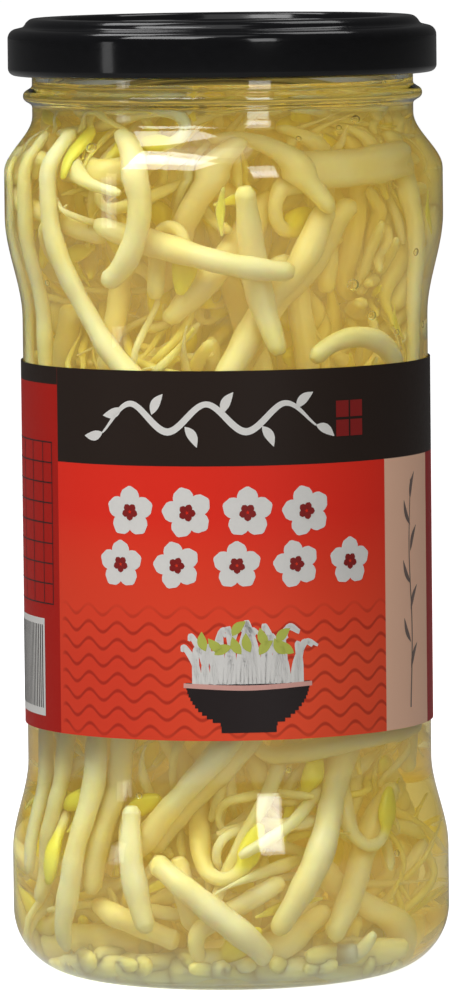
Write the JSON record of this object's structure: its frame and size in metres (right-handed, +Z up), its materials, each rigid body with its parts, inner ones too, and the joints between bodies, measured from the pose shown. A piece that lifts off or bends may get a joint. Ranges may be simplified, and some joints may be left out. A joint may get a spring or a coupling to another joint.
{
  "type": "jar of bean sprouts",
  "caption": "Glass jar with a twist-off steel lid and a wrapped paper label, packed with mung bean sprouts in clear brine.",
  "frame": {"origin": "middle of the base, on the plane of the ring that the jar stands on", "axes": "+Z up along the jar's axis, -Y out of the front of the label, +X to the right of it"},
  "size_m": [0.0676, 0.0676, 0.1475],
  "materials": {
    "glass": "clear, smooth, faintly green at the thick base",
    "lid_lacquer": "glossy black lacquer on tinned steel sheet",
    "sealing_compound": "soft cream sealing compound",
    "label_paper": "coated red paper with a black band",
    "brine": "clear pale yellow liquid",
    "sprout": "wet, cream-white stems with yellow seed leaves"
  },
  "bodies": {
    "jar": {"brine": "brine", "jar": "glass", "label": "label_paper", "sprout_01": "sprout", "sprout_02": "sprout", "sprout_03": "sprout", "sprout_04": "sprout", "sprout_05": "sprout", "sprout_06": "sprout", "sprout_07": "sprout", "sprout_08": "sprout", "sprout_09": "sprout", "sprout_10": "sprout", "sprout_11": "sprout", "sprout_12": "sprout", "sprout_13": "sprout", "sprout_14": "sprout", "sprout_15": "sprout", "sprout_16": "sprout", "sprout_17": "sprout", "sprout_18": "sprout", "sprout_19": "sprout", "sprout_20": "sprout", "sprout_21": "sprout", "sprout_22": "sprout", "sprout_23": "sprout", "sprout_24": "sprout", "sprout_25": "sprout", "sprout_26": "sprout", "sprout_27": "sprout", "sprout_28": "sprout", "sprout_29": "sprout", "sprout_30": "sprout", "sprout_31": "sprout", "sprout_32": "sprout", "sprout_33": "sprout", "sprout_34": "sprout", "sprout_35": "sprout", "sprout_36": "sprout", "sprout_37": "sprout", "sprout_38": "sprout", "sprout_clump_01": "sprout", "sprout_clump_02": "sprout", "sprout_clump_03": "sprout", "sprout_clump_04": "sprout", "sprout_clump_05": "sprout", "sprout_clump_06": "sprout", "sprout_clump_07": "sprout", "sprout_clump_08": "sprout", "sprout_clump_09": "sprout", "sprout_clump_10": "sprout", "sprout_clump_11": "sprout", "sprout_clump_12": "sprout", "sprout_clump_13": "sprout", "sprout_clump_14": "sprout", "sprout_clump_15": "sprout", "sprout_clump_16": "sprout"},
    "lid": {"lid": "lid_lacquer", "lid_seal": "sealing_compound"}
  },
  "joints": [
    {"name": "lid_turn", "type": "hinge", "parent": "jar", "child": "lid", "pos_m": [0, 0, 0.1475], "axis": [0, 0, 1], "range_deg": [0, 38]}
  ]
}
